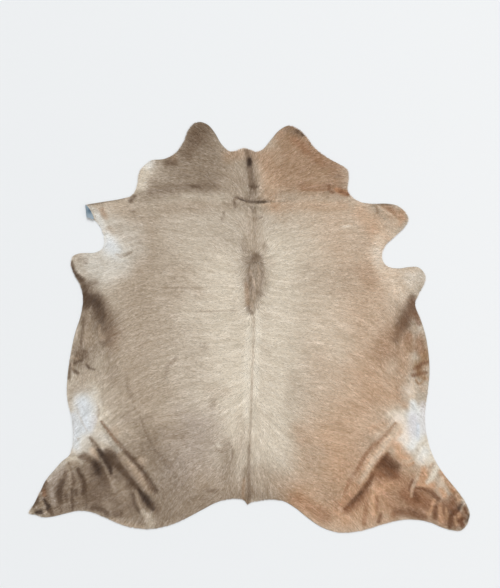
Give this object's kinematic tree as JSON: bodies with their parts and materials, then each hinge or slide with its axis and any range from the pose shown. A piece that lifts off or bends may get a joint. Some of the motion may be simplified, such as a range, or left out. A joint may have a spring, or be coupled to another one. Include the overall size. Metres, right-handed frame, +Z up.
{
  "type": "hair-on cowhide rug",
  "caption": "Whole hair-on cowhide laid flat, with its neck, shanks and tail stub, puckered beside the hind legs.",
  "frame": {"origin": "middle of the outline, on the surface that the hide lies on", "axes": "+Y towards the neck, +X towards the animal's right side as seen from above, +Z up out of the hair side"},
  "size_m": [2.202, 2.0502, 0.019],
  "materials": {
    "hair_on_leather": "short hair lying flat over tanned leather, grey-beige to brown, matt with a soft sheen"
  },
  "bodies": {
    "root": {"hide": "hair_on_leather"}
  },
  "joints": []
}
